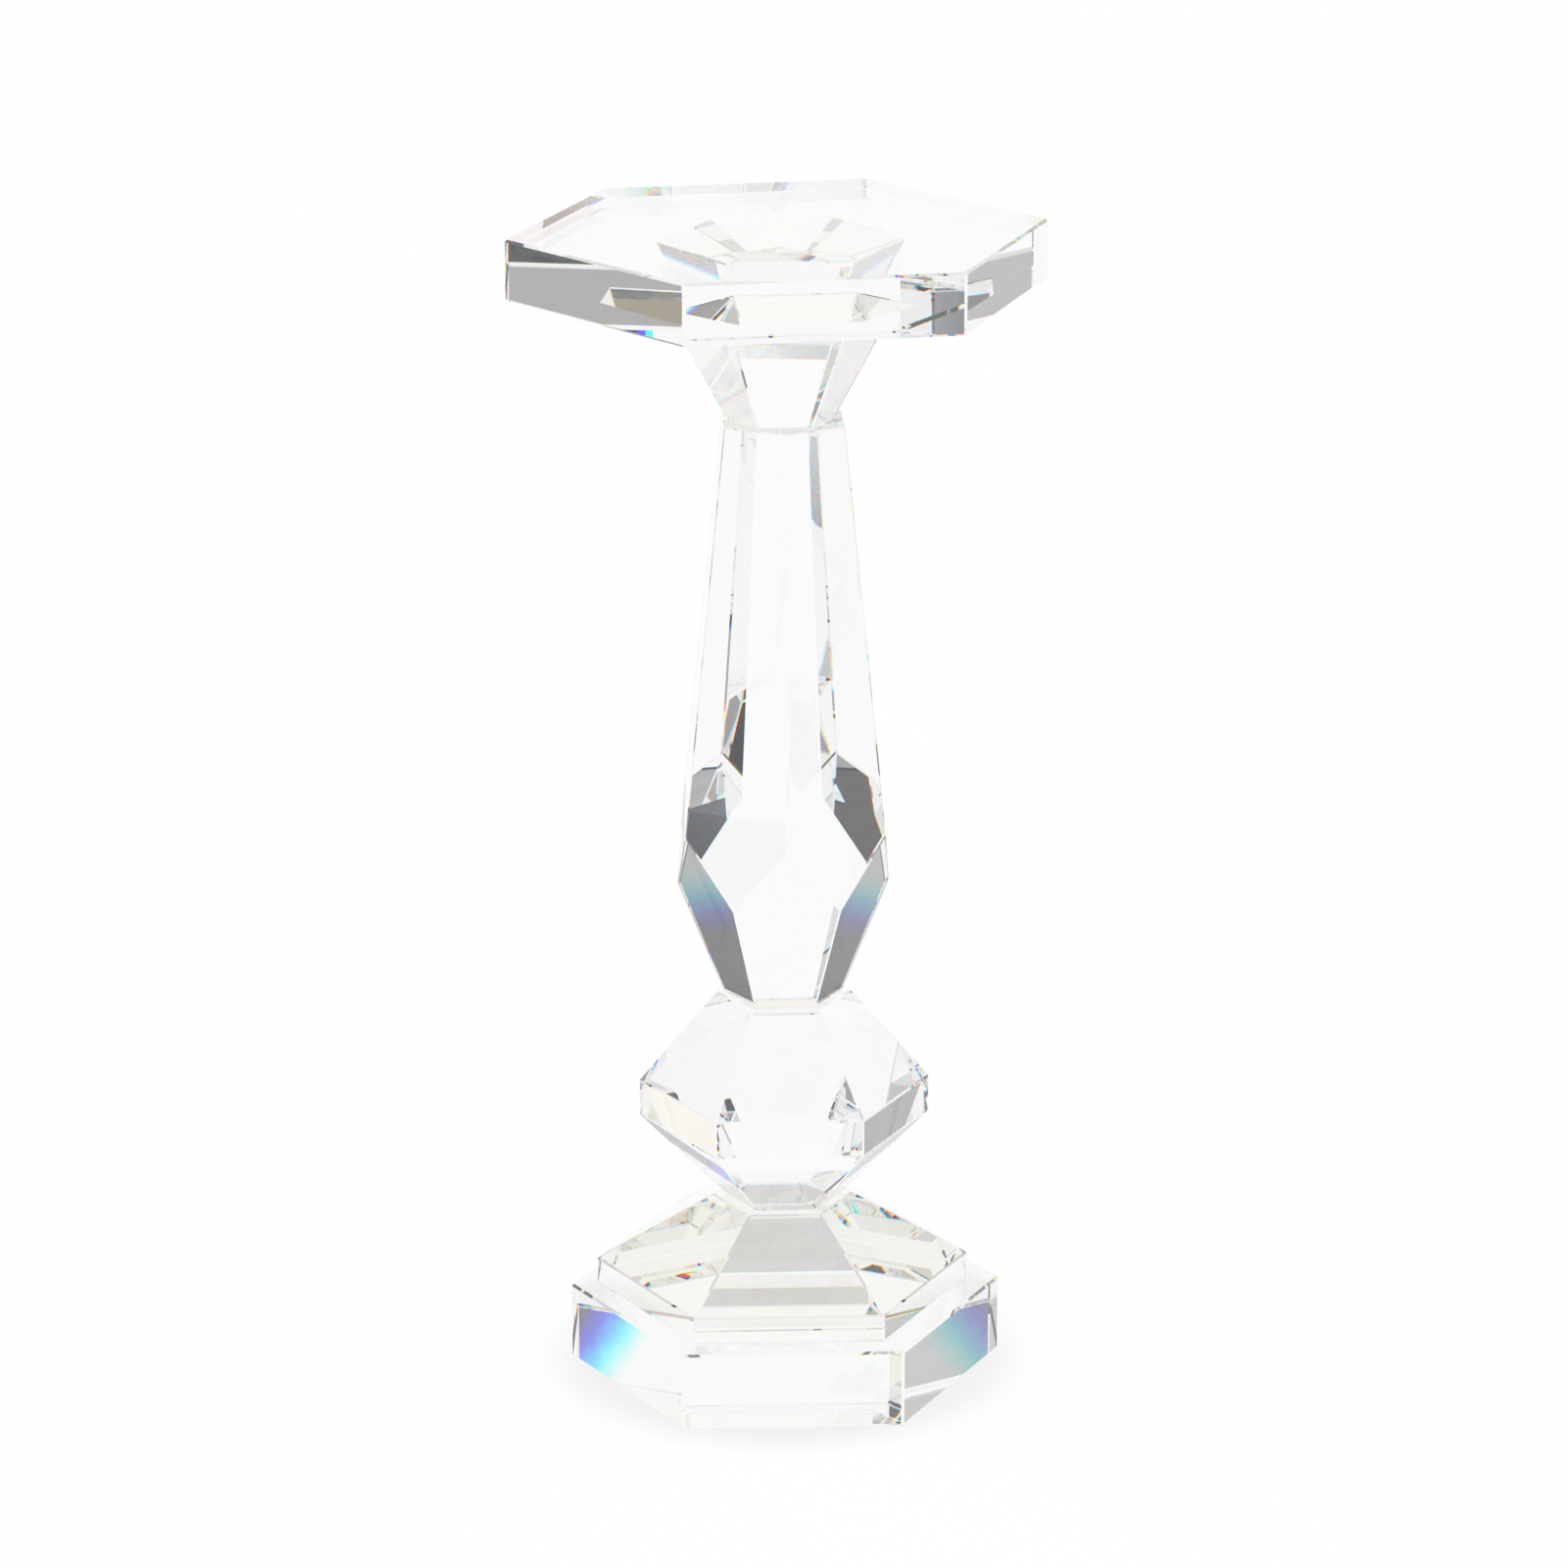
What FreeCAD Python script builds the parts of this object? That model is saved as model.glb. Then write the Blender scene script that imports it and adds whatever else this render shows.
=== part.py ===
import FreeCAD, Part
import math
import os

import Sketcher


# Glass candlestick: a stack of six solid hexagonal glass blocks, each ground from its own blank and
# bonded to the next with a thin film of clear adhesive.
#   +Z is up, and the origin is the centre of the underside that rests on the table.
#   The base blocks have corners on +X and -X and a flat side toward -Y.

SIDES = 6

# Driving dimensions in millimetres and degrees. A radius is measured to the hexagon's corners.
DIMENSIONS = [
    ("slab_radius", 47.5),
    ("slab_thickness", 17.25),
    ("pyramid_radius", 41.0),
    ("pyramid_band", 5.9),
    ("pyramid_height", 20.65),
    ("pyramid_top_radius", 15.4),
    ("knop_foot_radius", 12.9),
    ("knop_radius", 31.8),
    ("knop_lower_height", 18.85),
    ("knop_band", 8.1),
    ("knop_upper_height", 20.2),
    ("knop_top_radius", 14.7),
    ("stem_foot_radius", 13.0),
    ("stem_girdle_radius", 22.9),
    ("stem_lower_height", 24.75),
    ("stem_upper_height", 103.1),
    ("stem_top_radius", 14.7),
    ("collar_foot_radius", 11.5),
    ("collar_height", 27.35),
    ("collar_top_radius", 26.3),
    ("plate_radius", 57.9),
    ("plate_thickness", 13.0),
    ("collar_turn", 2.5),
    ("plate_turn", 8.5),
    ("pyramid_shift", -0.6),
    ("knop_shift", -0.2),
    ("stem_shift", -0.4),
    ("collar_shift", -0.9),
    ("plate_shift", -1.4),
    ("film_thickness", 0.15),
    ("film_setback", 0.5),
    ("grinding_allowance", 2.0),
    ("arris", 0.3),
    ("slab_arris", 0.5),
]

# The stem's six upper facets face between its six lower facets. Both sets are drawn as straight
# lines: the lower one is carried up past the girdle, and the upper one down to the foot.
STEM_HEIGHT = "stem_lower_height + stem_upper_height"
STEM_GIRDLE_CORNER = "stem_girdle_radius / cos(30 deg)"
STEM_UPPER_FOOT = (
    f"{STEM_GIRDLE_CORNER} + ( {STEM_GIRDLE_CORNER} - stem_top_radius )"
    " * stem_lower_height / stem_upper_height"
)
STEM_LOWER_END = "stem_foot_radius + 3 * ( stem_girdle_radius - stem_foot_radius )"

# Each block from the table upward: its name, its height, the corner radius of its blank, the facet
# sets ground on it, the width of the arris along its edges, its turn about +Z and its shift along X.
# A facet set is the origin plane its outline is drawn on and its levels from foot to top, as (rise
# above the level below, corner radius): YZ_Plane sets have a flat side toward -Y, and XZ_Plane sets
# have a corner there. The shifts and turns are those of blocks set by hand before bonding.
BLOCKS = [
    ("base_slab", "slab_thickness", "slab_radius", [], "slab_arris", "0", "0"),
    (
        "base_pyramid",
        "pyramid_height",
        "pyramid_radius + grinding_allowance",
        [
            (
                "YZ_Plane",
                [
                    ("0", "pyramid_radius"),
                    ("pyramid_band", "pyramid_radius"),
                    ("pyramid_height - pyramid_band", "pyramid_top_radius"),
                ],
            )
        ],
        "arris",
        "0",
        "pyramid_shift",
    ),
    (
        "knop",
        "knop_lower_height + knop_band + knop_upper_height",
        "knop_radius + grinding_allowance",
        [
            (
                "YZ_Plane",
                [
                    ("0", "knop_foot_radius"),
                    ("knop_lower_height", "knop_radius"),
                    ("knop_band", "knop_radius"),
                    ("knop_upper_height", "knop_top_radius"),
                ],
            )
        ],
        "arris",
        "0",
        "knop_shift",
    ),
    (
        "stem",
        STEM_HEIGHT,
        STEM_UPPER_FOOT + " + grinding_allowance",
        [
            (
                "YZ_Plane",
                [("0", "stem_foot_radius"), ("3 * stem_lower_height", STEM_LOWER_END)],
            ),
            ("XZ_Plane", [("0", STEM_UPPER_FOOT), (STEM_HEIGHT, "stem_top_radius")]),
        ],
        "arris",
        "0",
        "stem_shift",
    ),
    (
        "collar",
        "collar_height",
        "collar_top_radius + grinding_allowance",
        [("YZ_Plane", [("0", "collar_foot_radius"), ("collar_height", "collar_top_radius")])],
        "arris",
        "collar_turn",
        "collar_shift",
    ),
    (
        "candle_plate",
        "plate_thickness",
        "plate_radius",
        [],
        "slab_arris",
        "plate_turn",
        "plate_shift",
    ),
]

# Each film of adhesive, in the order of the joints: its name, the corner radius of the smaller of
# the two faces it joins, and the turn and shift of that face.
FILMS = [
    ("bond_slab_pyramid", "pyramid_radius", "0", "pyramid_shift"),
    ("bond_pyramid_knop", "knop_foot_radius", "0", "knop_shift"),
    ("bond_knop_stem", "stem_foot_radius", "0", "stem_shift"),
    ("bond_stem_collar", "collar_foot_radius", "collar_turn", "collar_shift"),
    ("bond_collar_plate", "collar_top_radius", "collar_turn", "collar_shift"),
]


def in_sheet(formula):
    """Write every dimension name in a formula as a reference to the sheet."""
    words = formula.split()
    names = {name for name, value in DIMENSIONS}
    return " ".join("Dimensions." + word if word in names else word for word in words)


def total(formulas):
    """Join several formulas into their sum."""
    return " + ".join("(" + in_sheet(formula) + ")" for formula in formulas)


def fill_sheet(doc):
    sheet = doc.addObject("Spreadsheet::Sheet", "Dimensions")
    for row, (name, value) in enumerate(DIMENSIONS, start=1):
        sheet.set(f"A{row}", name)
        sheet.set(f"B{row}", str(value))
        sheet.setAlias(f"B{row}", name)
    doc.recompute()
    return sheet


def new_sketch(body, name, role):
    """Add a sketch on the body's own origin plane with this role."""
    planes = [feature for feature in body.Origin.OriginFeatures if feature.Role == role]
    sketch = body.newObject("Sketcher::SketchObject", name)
    sketch.AttachmentSupport = (planes[0], [""])
    sketch.MapMode = "FlatFace"
    return sketch


def hexagon_sketch(body, name, radius):
    """Draw a hexagon centred on the origin with one corner on +X, held by its corner circle."""
    start_radius = 10.0
    sketch = new_sketch(body, name, "XY_Plane")
    corners = []
    for index in range(SIDES):
        angle = 2 * math.pi * index / SIDES
        corners.append(
            FreeCAD.Vector(start_radius * math.cos(angle), start_radius * math.sin(angle), 0)
        )
    for index in range(SIDES):
        sketch.addGeometry(Part.LineSegment(corners[index], corners[(index + 1) % SIDES]), False)
    up = FreeCAD.Vector(0, 0, 1)
    circle = sketch.addGeometry(Part.Circle(FreeCAD.Vector(0, 0, 0), up, start_radius), True)
    sketch.addConstraint(Sketcher.Constraint("Coincident", circle, 3, -1, 1))
    for index in range(SIDES):
        following = (index + 1) % SIDES
        sketch.addConstraint(Sketcher.Constraint("Coincident", index, 2, following, 1))
        sketch.addConstraint(Sketcher.Constraint("PointOnObject", index, 1, circle))
    for index in range(SIDES - 1):
        sketch.addConstraint(Sketcher.Constraint("Equal", index, index + 1))
    sketch.addConstraint(Sketcher.Constraint("PointOnObject", 0, 1, -1))
    size = sketch.addConstraint(Sketcher.Constraint("Radius", circle, start_radius))
    sketch.renameConstraint(size, "corner_radius")
    sketch.setExpression("Constraints.corner_radius", in_sheet(radius))
    return sketch


def hexagon_prism(body, name, radius, height):
    """Pad a hexagon upward from the body's base plane."""
    sketch = hexagon_sketch(body, name + "_outline", radius)
    pad = body.newObject("PartDesign::Pad", name + "_blank")
    pad.Profile = sketch
    pad.setExpression("Length", height)
    sketch.Visibility = False
    return pad


def waste_sketch(body, name, plane, levels, blank_radius):
    """Draw, in an upright origin plane, the waste that lies outside one side's facets.

    The sloping lines run at each level's distance from the axis to the flat side, which is the
    corner radius times cos(30 deg). The outer line stands clear of the blank.
    """
    sketch = new_sketch(body, name, plane)
    points = [FreeCAD.Vector(5.0 + index % 2, 10.0 * index, 0) for index in range(len(levels))]
    count = len(points)
    outer_top = FreeCAD.Vector(30.0, points[-1].y, 0)
    outer_foot = FreeCAD.Vector(30.0, points[0].y, 0)
    loop = points + [outer_top, outer_foot]
    for index, point in enumerate(loop):
        sketch.addGeometry(Part.LineSegment(point, loop[(index + 1) % len(loop)]), False)
    for index in range(len(loop)):
        following = (index + 1) % len(loop)
        sketch.addConstraint(Sketcher.Constraint("Coincident", index, 2, following, 1))
    sizes = []
    for index in range(count):
        rises = [rise for rise, radius in levels[: index + 1]]
        reach = "(" + in_sheet(levels[index][1]) + ") * cos(30 deg)"
        sizes.append((index, "across", "DistanceX", reach))
        if index == 0:
            sketch.addConstraint(Sketcher.Constraint("PointOnObject", 0, 1, -1))
        else:
            sizes.append((index, "up", "DistanceY", total(rises)))
    clear = "2 * (" + in_sheet(blank_radius) + ")"
    sizes.append((count, "across", "DistanceX", clear))
    sketch.addConstraint(Sketcher.Constraint("Horizontal", count - 1))
    sketch.addConstraint(Sketcher.Constraint("Vertical", count))
    sketch.addConstraint(Sketcher.Constraint("Horizontal", count + 1))
    for corner, direction, kind, formula in sizes:
        value = loop[corner].x if kind == "DistanceX" else loop[corner].y
        size = sketch.addConstraint(Sketcher.Constraint(kind, -1, 1, corner, 1, value))
        label = f"corner_{corner}_{direction}"
        sketch.renameConstraint(size, label)
        sketch.setExpression("Constraints." + label, formula)
    return sketch


def grind(body, name, plane, levels, blank_radius, blank):
    """Grind six facets, one per side, and return the pattern that holds them."""
    sketch = waste_sketch(body, name + "_waste", plane, levels, blank_radius)
    cut = body.newObject("PartDesign::Pocket", name + "_cut")
    cut.Profile = sketch
    cut.Type = "ThroughAll"
    cut.Midplane = True
    sketch.Visibility = False
    body.Document.recompute()
    facets = body.newObject("PartDesign::PolarPattern", name + "_facets")
    facets.Originals = [cut]
    z_axes = [axis for axis in body.Origin.OriginFeatures if axis.Role == "Z_Axis"]
    facets.Axis = (z_axes[0], [""])
    facets.Angle = 360
    facets.Occurrences = SIDES
    body.Tip = facets
    body.Document.recompute()
    if not facets.Shape.Volume < blank.Shape.Volume:
        raise RuntimeError(name + ": grinding removed nothing")
    return facets


def ground_block(doc, name, height, blank_radius, facet_sets, arris):
    """Grind each set of facets on a hexagonal blank, then dull every edge with an arris."""
    body = doc.addObject("PartDesign::Body", name)
    body.Label = name
    last = hexagon_prism(body, name, blank_radius, in_sheet(height))
    doc.recompute()
    for number, (plane, levels) in enumerate(facet_sets, start=1):
        last = grind(body, f"{name}_set_{number}", plane, levels, blank_radius, last)
    edges = body.newObject("PartDesign::Chamfer", name + "_arris")
    edges.Base = (last, [""])
    edges.UseAllEdges = True
    edges.setExpression("Size", in_sheet(arris))
    body.Tip = edges
    doc.recompute()
    return body


def film(doc, name, radius):
    """A flat hexagon of adhesive, set back a little from the edge of the face it wets."""
    body = doc.addObject("PartDesign::Body", name)
    body.Label = name
    hexagon_prism(body, name, radius + " - film_setback", in_sheet("film_thickness"))
    doc.recompute()
    return body


def place(body, rises, turn, shift):
    """Stand a body at the sum of the rises below it, turned about +Z and shifted along X."""
    if rises:
        body.setExpression("Placement.Base.z", total(rises))
    if shift != "0":
        body.setExpression("Placement.Base.x", in_sheet(shift))
    body.Placement.Rotation = FreeCAD.Rotation(FreeCAD.Vector(0, 0, 1), 0)
    if turn != "0":
        body.setExpression("Placement.Rotation.Angle", in_sheet(turn) + " * 1 deg")


def check(doc):
    for item in doc.Objects:
        if "Invalid" in item.State or "Error" in item.State:
            raise RuntimeError(f"{item.Name}: {item.State}")


def write(bodies):
    os.makedirs("parts", exist_ok=True)
    for body in bodies:
        shape = body.Shape
        if shape.isNull() or not shape.isValid() or len(shape.Solids) != 1:
            raise RuntimeError(body.Label + ": not one valid solid")
        shape.exportStep(f"parts/{body.Label}.step")
        box = shape.BoundBox
        print(f"{body.Label}: z {box.ZMin:.3f} to {box.ZMax:.3f}, volume {shape.Volume:.1f}")


def main():
    doc = FreeCAD.newDocument("glass_candlestick")
    fill_sheet(doc)
    bodies = []
    rises_below = []
    for index, (name, height, blank_radius, facet_sets, arris, turn, shift) in enumerate(BLOCKS):
        block = ground_block(doc, name, height, blank_radius, facet_sets, arris)
        place(block, rises_below, turn, shift)
        bodies.append(block)
        rises_below = rises_below + [height]
        if index < len(FILMS):
            film_name, film_radius, film_turn, film_shift = FILMS[index]
            bond = film(doc, film_name, film_radius)
            place(bond, rises_below, film_turn, film_shift)
            bodies.append(bond)
            rises_below = rises_below + ["film_thickness"]
    doc.recompute()
    check(doc)
    write(bodies)


main()
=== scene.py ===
import math

import bpy
from mathutils import Matrix, Vector

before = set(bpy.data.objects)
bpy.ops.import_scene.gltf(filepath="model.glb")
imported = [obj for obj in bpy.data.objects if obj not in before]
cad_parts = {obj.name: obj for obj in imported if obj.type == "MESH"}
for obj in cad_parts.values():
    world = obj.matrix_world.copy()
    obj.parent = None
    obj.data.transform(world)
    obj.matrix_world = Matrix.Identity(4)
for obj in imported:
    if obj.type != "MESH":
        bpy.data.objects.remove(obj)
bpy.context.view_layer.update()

# Glass. The spread is how far the index of red and of blue light lies from green's, and it is wider
# than in real glass because only the first face splits the light.
GLASS_IOR = 1.517
SPREAD = 0.005
CLARITY = 0.985
POLISH_SCALE = 55.0
POLISH_DETAIL = 2.0
POLISH_STRENGTH = 0.03
POLISH_DEPTH = 0.0002

# Adhesive.
FILM_SCALE = 420.0
FILM_CLOUDED = (0.985, 0.98, 0.955, 1.0)
FILM_CLEAR = (1.0, 1.0, 0.99, 1.0)

# The floor, and the painted shadow on it round the slab's foot, by distance from the axis. Metres.
FLOOR_HALF = 6.0
FLOOR_DROP = 0.0004
FLOOR_SCALE = 3.0
FLOOR_LOW = 0.985
FLOOR_HIGH = 1.005
SLAB_SPAN = (0.036, 0.042)
SHADE_SPAN = (0.040, 0.058)
SHADE_DEPTH = 0.12

# The studio. Angles are in degrees: bearings from the direction of view, heights from the level.
# Tones are shares of plain white, and lengths are in metres. A span is a range of bearings, and a
# pair named top, foot or rise is the range of heights over which a tone fades. A skirt's top and
# start and a panel's edge are the middles of such fades, which the edge softness reaches to either
# side. Everything is a neutral grey but the lamp and the far part of the right-hand flag.
VIEW_TURN = math.radians(-2.5)
WHITE = 1.0
CEILING_RISE = (33.0, 50.0)
CEILING_TONE = 0.7
WALL_SPAN = (36.3, 75.0)
WALL_TOP = (24.0, 26.0)
WALL_TONE = 0.4
SKIRT_TOP = {"left": 10.95, "right": 10.4}
SKIRT_TONE = 0.09
SKIRT_START = 42.8
PANEL_FOOT = (15.0, 18.0)
PANEL_EDGE = {"left": 45.8, "right": 44.45}
PANEL_TONE = 0.2
OPENING_TONE = {"left": 0.55, "right": 1.0}
EDGE_SOFTNESS = 0.2
WALL_SOFTNESS = 0.3
LAMP_SOFTNESS = 0.3
FLAG_SOFTNESS = 0.5
ROOM_SOFTNESS = 2.0
LAMP_SPAN = (39.5, 42.2)
LAMP_TOP = (10.0, 12.0)
LAMP_COLOUR = (1.0, 0.97, 0.88, 1.0)
FLAG_SPAN = (27.5, 36.3)
FLAG_TOP = (20.0, 24.0)
FLAG_TONE = 0.06
RIGHT_FLAG_COLOUR = (0.35, 0.32, 0.25, 1.0)
FLAG_HEIGHT = 0.25
WALL_HEIGHT = 0.06
ROOM_SPAN = (122.0, 157.0)
ROOM_TOP = (22.0, 28.0)
ROOM_TONE = 0.14
CARD_DISTANCE = 0.6
CARD_SCALE = 8.0
CARD_MOTTLE = 0.15
TABLE_EDGE = 0.33
ROOM_FLOOR_RISE = 0.001

# The camera: a long lens a little over a metre away, tipped down onto the base. The places are in
# metres, the pitch is in radians, and the lens and the sensor's width are in millimetres.
CAMERA_DISTANCE = 1.10418025
CAMERA_HEIGHT = 0.479313
CAMERA_OFFSET = 0.00022325
CAMERA_PITCH = 0.3043
LENS = 123.3
SENSOR = 36.0
CAMERA_REACH = 100.0

# Light bounces between many facets before it leaves the glass.
GLASS_BOUNCES = 64
CLEAR_BOUNCES = 32


class Nodes:
    """A small helper that adds nodes to a tree and links them."""

    def __init__(self, tree):
        self.tree = tree
        tree.nodes.clear()

    def add(self, kind, **settings):
        node = self.tree.nodes.new(kind)
        for name, value in settings.items():
            setattr(node, name, value)
        return node

    def feed(self, socket, value):
        """Link an output socket to this input, or set the input's own value."""
        if isinstance(value, bpy.types.NodeSocket):
            self.tree.links.new(value, socket)
        else:
            socket.default_value = value

    def math(self, operation, *values, clamp=False):
        node = self.add("ShaderNodeMath", operation=operation, use_clamp=clamp)
        for index, value in enumerate(values):
            self.feed(node.inputs[index], value)
        return node.outputs[0]

    def dot(self, vector, direction):
        node = self.add("ShaderNodeVectorMath", operation="DOT_PRODUCT")
        self.feed(node.inputs[0], vector)
        node.inputs[1].default_value = direction
        return node.outputs["Value"]


def grey(tone):
    """An opaque colour of this tone."""
    return (tone, tone, tone, 1.0)


def smooth_step(nodes, value, low, high):
    """Zero below low, one above high, and a soft ramp between."""
    ramp = nodes.add("ShaderNodeMapRange", interpolation_type="SMOOTHSTEP")
    nodes.feed(ramp.inputs["Value"], value)
    ramp.inputs["From Min"].default_value = low
    ramp.inputs["From Max"].default_value = high
    return ramp.outputs[0]


def band(nodes, value, low, high, soft):
    """One between low and high, fading out over the soft margin."""
    rise = smooth_step(nodes, value, low - soft, low + soft)
    fall = smooth_step(nodes, value, high - soft, high + soft)
    return nodes.math("SUBTRACT", rise, fall)


def below(nodes, value, low, high):
    """One below low, fading to zero at high."""
    return nodes.math("SUBTRACT", 1.0, smooth_step(nodes, value, low, high))


def film_shapes():
    """Read each film's foot, thickness, centre, corner radius and turn from the CAD frame."""
    shapes = []
    for name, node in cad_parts.items():
        if not name.startswith("bond_"):
            continue
        points = [node.matrix_world @ vertex.co for vertex in node.data.vertices]
        low = min(point.z for point in points)
        high = max(point.z for point in points)
        centre = sum(points, Vector()) / len(points)
        corner = max((point - centre for point in points), key=lambda arm: arm.xy.length)
        turn = math.atan2(corner.y, corner.x)
        shapes.append((low, high - low, centre, corner.xy.length, turn))
    return shapes


def joint_mask(nodes, position):
    """One where a point lies on either face of a film joint, zero elsewhere."""
    axes = nodes.add("ShaderNodeSeparateXYZ")
    nodes.feed(axes.inputs[0], position)
    total = None
    for low, thickness, centre, radius, turn in film_shapes():
        middle = low + thickness / 2
        gap = nodes.math("ABSOLUTE", nodes.math("SUBTRACT", axes.outputs["Z"], middle))
        inside = nodes.math("LESS_THAN", gap, thickness)
        reach = None
        for side in range(3):
            angle = turn + math.radians(30 + 60 * side)
            facing = Vector((math.cos(angle), math.sin(angle), 0.0))
            across = nodes.dot(position, facing)
            across = nodes.math("SUBTRACT", across, facing.dot(centre))
            across = nodes.math("ABSOLUTE", across)
            reach = across if reach is None else nodes.math("MAXIMUM", reach, across)
        flat = radius * math.cos(math.radians(30))
        inside = nodes.math("MULTIPLY", inside, nodes.math("LESS_THAN", reach, flat))
        total = inside if total is None else nodes.math("ADD", total, inside, clamp=True)
    return total


def glass_lobe(nodes, colour, ior, normal):
    """Polished glass that passes this colour and bends it by this index."""
    lobe = nodes.add("ShaderNodeBsdfGlass")
    lobe.inputs["Color"].default_value = colour
    lobe.inputs["Roughness"].default_value = 0.0
    lobe.inputs["IOR"].default_value = ior
    nodes.feed(lobe.inputs["Normal"], normal)
    return lobe.outputs[0]


def mix_shaders(nodes, share, first, second):
    """The first shader where the share is zero and the second where it is one."""
    mix = nodes.add("ShaderNodeMixShader")
    nodes.feed(mix.inputs[0], share)
    nodes.feed(mix.inputs[1], first)
    nodes.feed(mix.inputs[2], second)
    return mix.outputs[0]


def glass_material(name):
    """Clear ground glass: its face splits light slightly by colour, its bonded faces vanish."""
    material = bpy.data.materials.new(name)
    material.use_nodes = True
    nodes = Nodes(material.node_tree)
    place = nodes.add("ShaderNodeTexCoord").outputs["Object"]
    waves = nodes.add("ShaderNodeTexNoise")
    nodes.feed(waves.inputs["Vector"], place)
    waves.inputs["Scale"].default_value = POLISH_SCALE
    waves.inputs["Detail"].default_value = POLISH_DETAIL
    polish = nodes.add("ShaderNodeBump")
    polish.inputs["Strength"].default_value = POLISH_STRENGTH
    polish.inputs["Distance"].default_value = POLISH_DEPTH
    nodes.feed(polish.inputs["Height"], waves.outputs["Fac"])
    normal = polish.outputs[0]
    split = None
    for step in (-1, 0, 1):
        colour = [0.0, 0.0, 0.0, 1.0]
        colour[step + 1] = CLARITY
        lobe = glass_lobe(nodes, colour, GLASS_IOR + step * SPREAD, normal)
        if split is None:
            split = lobe
        else:
            both = nodes.add("ShaderNodeAddShader")
            nodes.feed(both.inputs[0], split)
            nodes.feed(both.inputs[1], lobe)
            split = both.outputs[0]
    plain = glass_lobe(nodes, (CLARITY, CLARITY, CLARITY, 1.0), GLASS_IOR, normal)
    first_face = nodes.add("ShaderNodeLightPath").outputs["Is Camera Ray"]
    body = mix_shaders(nodes, first_face, plain, split)
    clear = nodes.add("ShaderNodeBsdfTransparent").outputs[0]
    out = nodes.add("ShaderNodeOutputMaterial")
    nodes.feed(out.inputs["Surface"], mix_shaders(nodes, joint_mask(nodes, place), body, clear))
    return material


def film_material(name):
    """Cured adhesive: it matches the glass, so only a faint uneven warmth shows."""
    material = bpy.data.materials.new(name)
    material.use_nodes = True
    nodes = Nodes(material.node_tree)
    place = nodes.add("ShaderNodeTexCoord").outputs["Object"]
    cloud = nodes.add("ShaderNodeTexNoise")
    nodes.feed(cloud.inputs["Vector"], place)
    cloud.inputs["Scale"].default_value = FILM_SCALE
    tint = nodes.add("ShaderNodeValToRGB")
    nodes.feed(tint.inputs[0], cloud.outputs["Fac"])
    tint.color_ramp.elements[0].color = FILM_CLOUDED
    tint.color_ramp.elements[1].color = FILM_CLEAR
    clear = nodes.add("ShaderNodeBsdfTransparent")
    nodes.feed(clear.inputs[0], tint.outputs[0])
    out = nodes.add("ShaderNodeOutputMaterial")
    nodes.feed(out.inputs["Surface"], clear.outputs[0])
    return material


def floor_material():
    """Bright white paper: faintly mottled, with a soft shadow painted round where the slab stands.
    """
    material = bpy.data.materials.new("white_floor")
    material.use_nodes = True
    nodes = Nodes(material.node_tree)
    place = nodes.add("ShaderNodeTexCoord").outputs["Object"]
    grain = nodes.add("ShaderNodeTexNoise")
    nodes.feed(grain.inputs["Vector"], place)
    grain.inputs["Scale"].default_value = FLOOR_SCALE
    tone = nodes.add("ShaderNodeValToRGB")
    nodes.feed(tone.inputs[0], grain.outputs["Fac"])
    tone.color_ramp.elements[0].color = grey(FLOOR_LOW)
    tone.color_ramp.elements[1].color = grey(FLOOR_HIGH)
    reach = nodes.add("ShaderNodeVectorMath", operation="LENGTH")
    nodes.feed(reach.inputs[0], place)
    reach = reach.outputs["Value"]
    # Painted shadow: the glowing floor is dimmed in a soft ring round the slab's foot, in place of
    # the glass's shadow.
    fading = below(nodes, reach, *SHADE_SPAN)
    outside = smooth_step(nodes, reach, *SLAB_SPAN)
    shade = nodes.math("MULTIPLY", nodes.math("MULTIPLY", fading, outside), SHADE_DEPTH)
    glow = nodes.add("ShaderNodeEmission")
    nodes.feed(glow.inputs["Color"], tone.outputs[0])
    nodes.feed(glow.inputs["Strength"], nodes.math("SUBTRACT", 1.0, shade))
    out = nodes.add("ShaderNodeOutputMaterial")
    nodes.feed(out.inputs["Surface"], glow.outputs[0])
    material.cycles.emission_sampling = "NONE"
    return material


def add_floor():
    """A wide floor, just clear of the slab so that the two faces never share a plane."""
    turns = ((-1, -1), (1, -1), (1, 1), (-1, 1))
    corners = [(x * FLOOR_HALF, y * FLOOR_HALF, -FLOOR_DROP) for x, y in turns]
    mesh = bpy.data.meshes.new("studio_floor")
    mesh.from_pydata(corners, [], [(0, 1, 2, 3)])
    floor = bpy.data.objects.new("studio_floor", mesh)
    bpy.context.scene.collection.objects.link(floor)
    mesh.materials.append(floor_material())


def blend(nodes, share, first, second):
    """The first tone where the share is zero and the second where it is one."""
    mix = nodes.add("ShaderNodeMix", data_type="FLOAT")
    nodes.feed(mix.inputs[0], share)
    nodes.feed(mix.inputs[2], first)
    nodes.feed(mix.inputs[3], second)
    return mix.outputs[0]


def blend_colour(nodes, share, first, second):
    """The first colour where the share is zero and the second where it is one."""
    mix = nodes.add("ShaderNodeMix", data_type="RGBA")
    nodes.feed(mix.inputs[0], share)
    nodes.feed(mix.inputs[6], first)
    nodes.feed(mix.inputs[7], second)
    return mix.outputs[2]


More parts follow.
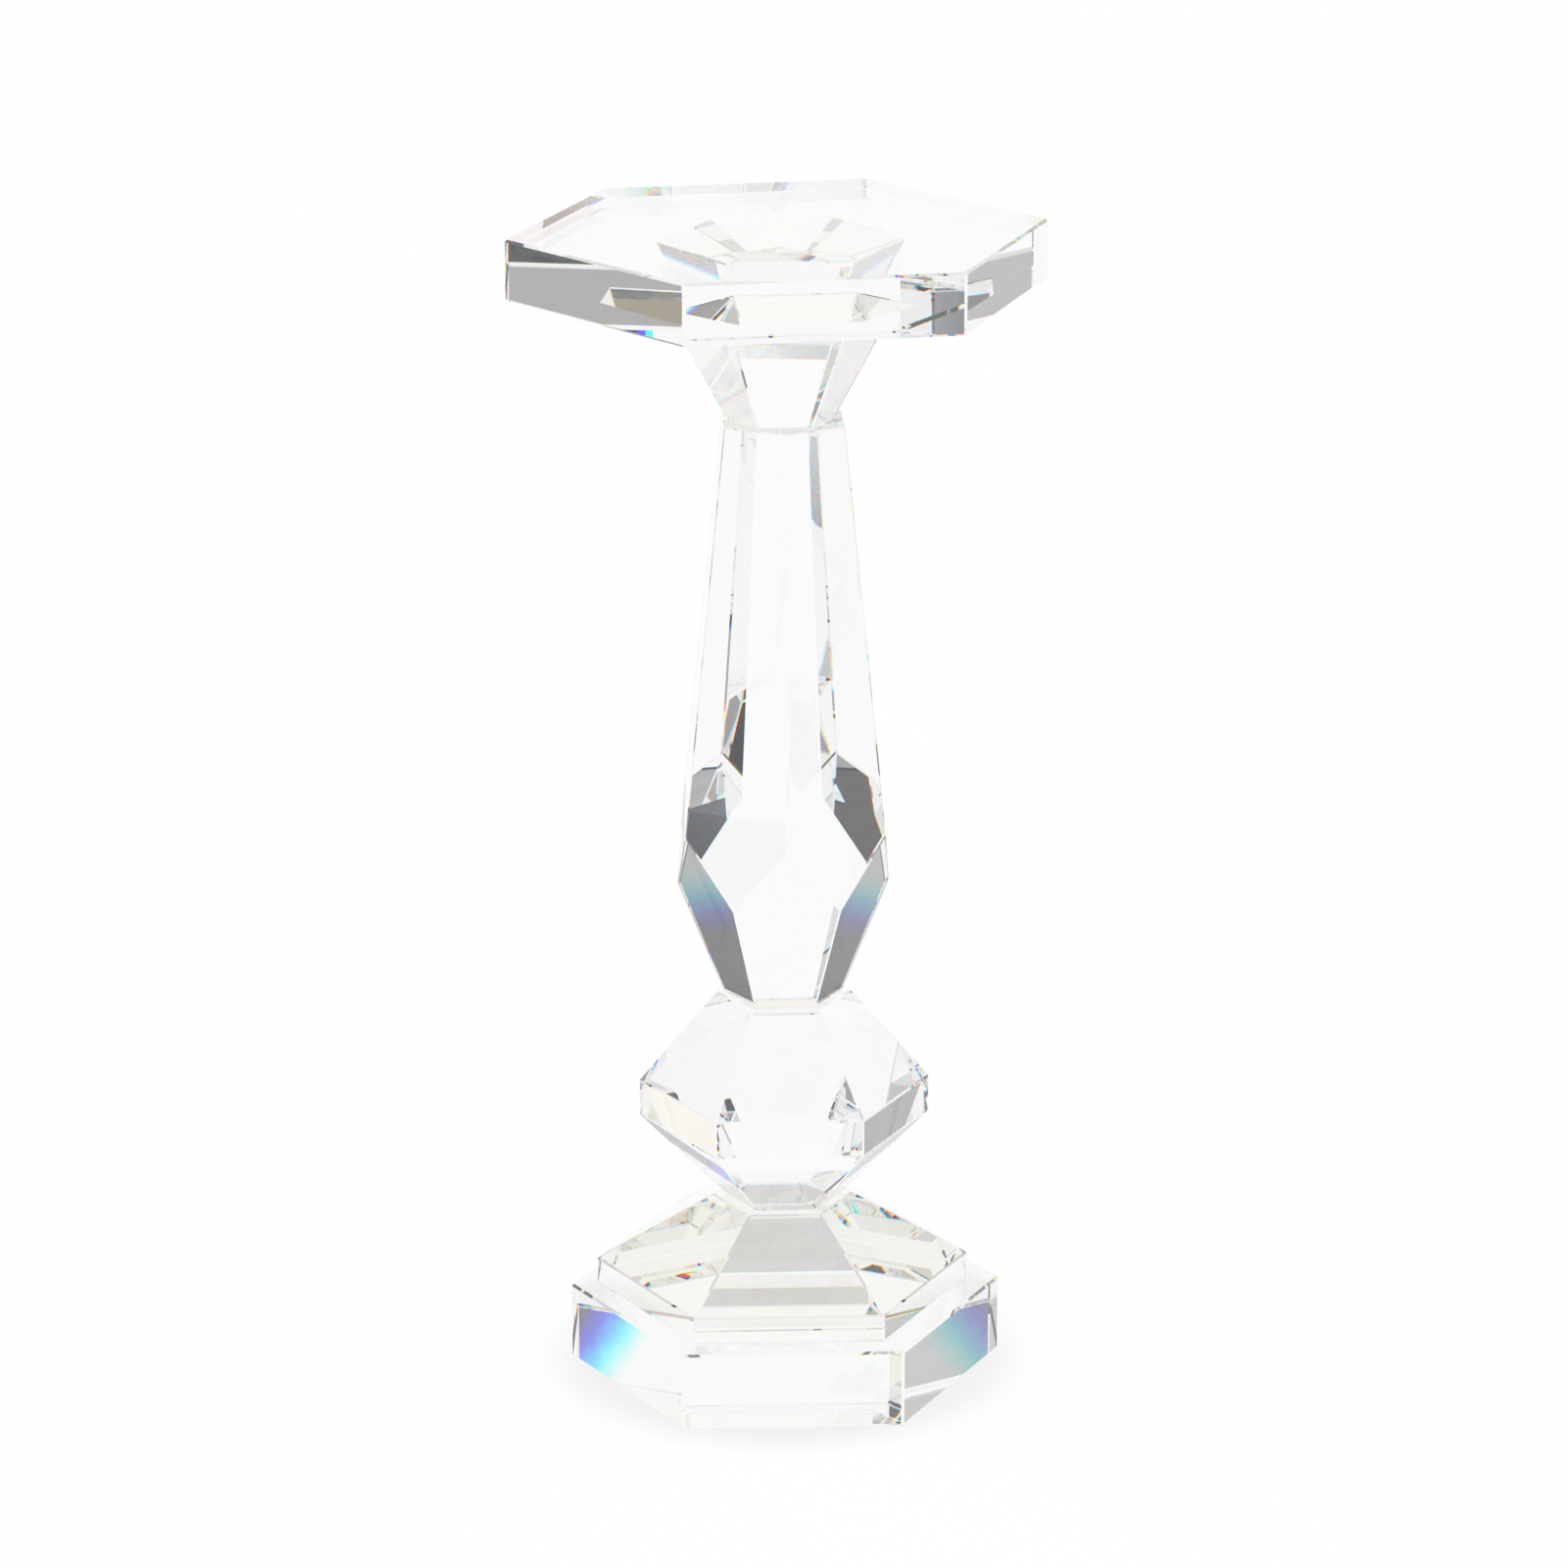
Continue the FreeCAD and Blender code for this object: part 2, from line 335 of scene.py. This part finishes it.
def wall_tone(nodes, side, aside, height):
    """A grey wall with a dark skirt along its foot, and a dark panel beside an opening above."""
    skirt = SKIRT_TOP[side]
    edge = PANEL_EDGE[side]
    low = below(nodes, height, skirt - EDGE_SOFTNESS, skirt + EDGE_SOFTNESS)
    beyond = smooth_step(nodes, aside, SKIRT_START - EDGE_SOFTNESS, SKIRT_START + EDGE_SOFTNESS)
    foot = blend(nodes, nodes.math("MULTIPLY", low, beyond), WALL_TONE, SKIRT_TONE)
    past = smooth_step(nodes, aside, edge - EDGE_SOFTNESS, edge + EDGE_SOFTNESS)
    head = blend(nodes, past, PANEL_TONE, OPENING_TONE[side])
    return blend(nodes, smooth_step(nodes, height, *PANEL_FOOT), foot, head)


def add_world():
    """A white studio under a greyer ceiling, with flags and walls to either side of the
    backdrop, and an unlit room to either side of the camera."""
    world = bpy.data.worlds.new("studio")
    bpy.context.scene.world = world
    world.use_nodes = True
    nodes = Nodes(world.node_tree)
    turned = nodes.add("ShaderNodeVectorRotate", rotation_type="Z_AXIS")
    nodes.feed(turned.inputs["Vector"], nodes.add("ShaderNodeTexCoord").outputs["Generated"])
    turned.inputs["Angle"].default_value = -VIEW_TURN
    axes = nodes.add("ShaderNodeSeparateXYZ")
    nodes.feed(axes.inputs[0], turned.outputs[0])
    degree = 180 / math.pi
    bearing = nodes.math("ARCTAN2", axes.outputs["X"], axes.outputs["Y"])
    bearing = nodes.math("MULTIPLY", bearing, degree)
    height = nodes.math("MULTIPLY", nodes.math("ARCSINE", axes.outputs["Z"]), degree)
    aside = nodes.math("ABSOLUTE", bearing)
    on_right = nodes.math("GREATER_THAN", bearing, 0.0)

    def zone(angle, span, soft, top):
        across = band(nodes, angle, *span, soft)
        return nodes.math("MULTIPLY", across, below(nodes, height, *top))

    tone = blend(nodes, smooth_step(nodes, height, *CEILING_RISE), WHITE, CEILING_TONE)
    left_wall = wall_tone(nodes, "left", aside, height)
    right_wall = wall_tone(nodes, "right", aside, height)
    walls = blend(nodes, on_right, left_wall, right_wall)
    tone = blend(nodes, zone(aside, WALL_SPAN, WALL_SOFTNESS, WALL_TOP), tone, walls)
    tone = blend(nodes, zone(aside, FLAG_SPAN, FLAG_SOFTNESS, FLAG_TOP), tone, FLAG_TONE)
    tone = blend(nodes, zone(aside, ROOM_SPAN, ROOM_SOFTNESS, ROOM_TOP), tone, ROOM_TONE)
    lamp = zone(bearing, LAMP_SPAN, LAMP_SOFTNESS, LAMP_TOP)
    colour = blend_colour(nodes, lamp, tone, LAMP_COLOUR)
    right_flag = zone(bearing, FLAG_SPAN, FLAG_SOFTNESS, FLAG_TOP)
    colour = blend_colour(nodes, right_flag, colour, RIGHT_FLAG_COLOUR)
    straight = nodes.add("ShaderNodeLightPath").outputs["Is Camera Ray"]
    colour = blend_colour(nodes, straight, colour, grey(WHITE))
    sky = nodes.add("ShaderNodeBackground")
    nodes.feed(sky.inputs["Color"], colour)
    out = nodes.add("ShaderNodeOutputWorld")
    nodes.feed(out.inputs["Surface"], sky.outputs[0])


def card_material(name, tone):
    """A card that gives off this tone evenly, with a little paper mottle."""
    material = bpy.data.materials.new(name)
    material.use_nodes = True
    nodes = Nodes(material.node_tree)
    mottle = nodes.add("ShaderNodeTexNoise")
    nodes.feed(mottle.inputs["Vector"], nodes.add("ShaderNodeTexCoord").outputs["Object"])
    mottle.inputs["Scale"].default_value = CARD_SCALE
    shade = nodes.add("ShaderNodeValToRGB")
    nodes.feed(shade.inputs[0], mottle.outputs["Fac"])
    shade.color_ramp.elements[0].color = grey(tone * (1 - CARD_MOTTLE))
    shade.color_ramp.elements[1].color = grey(tone * (1 + CARD_MOTTLE))
    glow = nodes.add("ShaderNodeEmission")
    nodes.feed(glow.inputs["Color"], shade.outputs[0])
    out = nodes.add("ShaderNodeOutputMaterial")
    nodes.feed(out.inputs["Surface"], glow.outputs[0])
    return material


def spot(bearing, distance, rise):
    """A point this far from the axis, at a bearing in degrees from the direction of view."""
    angle = math.radians(bearing)
    across = Vector((math.sin(angle), math.cos(angle), 0.0)) * distance
    return Matrix.Rotation(VIEW_TURN, 3, "Z") @ across + Vector((0.0, 0.0, rise))


def add_card(name, corners, tone):
    """A card that only shows in the glass: it is out of the picture and shades nothing."""
    mesh = bpy.data.meshes.new(name)
    mesh.from_pydata(corners, [], [(0, 1, 2, 3)])
    mesh.materials.append(card_material(name, tone))
    card = bpy.data.objects.new(name, mesh)
    bpy.context.scene.collection.objects.link(card)
    card.visible_camera = False
    card.visible_diffuse = False
    card.visible_shadow = False


def upright_card(name, side, span, top, tone):
    """A card that stands on the floor across a span of bearings."""
    near, far = side * span[0], side * span[1]
    corners = [
        spot(near, CARD_DISTANCE, 0.0),
        spot(far, CARD_DISTANCE, 0.0),
        spot(far, CARD_DISTANCE, top),
        spot(near, CARD_DISTANCE, top),
    ]
    add_card(name, corners, tone)


def flat_card(name, side, span, near_edge, far_edge, tone):
    """A card that lies on the floor across a span of bearings, between two distances."""
    first, last = side * span[0], side * span[1]
    corners = [
        spot(first, near_edge, ROOM_FLOOR_RISE),
        spot(last, near_edge, ROOM_FLOOR_RISE),
        spot(last, far_edge, ROOM_FLOOR_RISE),
        spot(first, far_edge, ROOM_FLOOR_RISE),
    ]
    add_card(name, corners, tone)


def add_cards():
    """The near parts of the flags, walls and unlit room, which stand on or lie on the floor."""
    for side, word in ((-1, "left"), (1, "right")):
        upright_card(f"{word}_flag", side, FLAG_SPAN, FLAG_HEIGHT, FLAG_TONE)
        upright_card(f"{word}_wall", side, WALL_SPAN, WALL_HEIGHT, WALL_TONE)
        flat_card(f"{word}_room_floor", side, ROOM_SPAN, TABLE_EDGE, 3 * TABLE_EDGE, ROOM_TONE)


def add_camera():
    data = bpy.data.cameras.new("camera")
    data.sensor_width = SENSOR
    data.lens = LENS
    data.clip_end = CAMERA_REACH
    camera = bpy.data.objects.new("camera", data)
    bpy.context.scene.collection.objects.link(camera)
    place = Vector((-CAMERA_OFFSET, -CAMERA_DISTANCE, CAMERA_HEIGHT))
    camera.location = Matrix.Rotation(VIEW_TURN, 3, "Z") @ place
    camera.rotation_euler = (math.pi / 2 - CAMERA_PITCH, 0.0, VIEW_TURN)
    bpy.context.scene.camera = camera


def dress():
    """Give every node its material. The glass shades nothing: the floor has a painted shadow."""
    glass = glass_material("clear_glass")
    film = film_material("clear_adhesive")
    for name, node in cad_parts.items():
        node.data.materials.clear()
        node.data.materials.append(film if name.startswith("bond_") else glass)
        node.visible_shadow = False
        node.visible_diffuse = False


dress()
add_floor()
add_world()
add_cards()
add_camera()
scene = bpy.context.scene
scene.view_settings.view_transform = "Standard"
scene.cycles.max_bounces = GLASS_BOUNCES
scene.cycles.transmission_bounces = GLASS_BOUNCES
scene.cycles.glossy_bounces = GLASS_BOUNCES
scene.cycles.transparent_max_bounces = CLEAR_BOUNCES
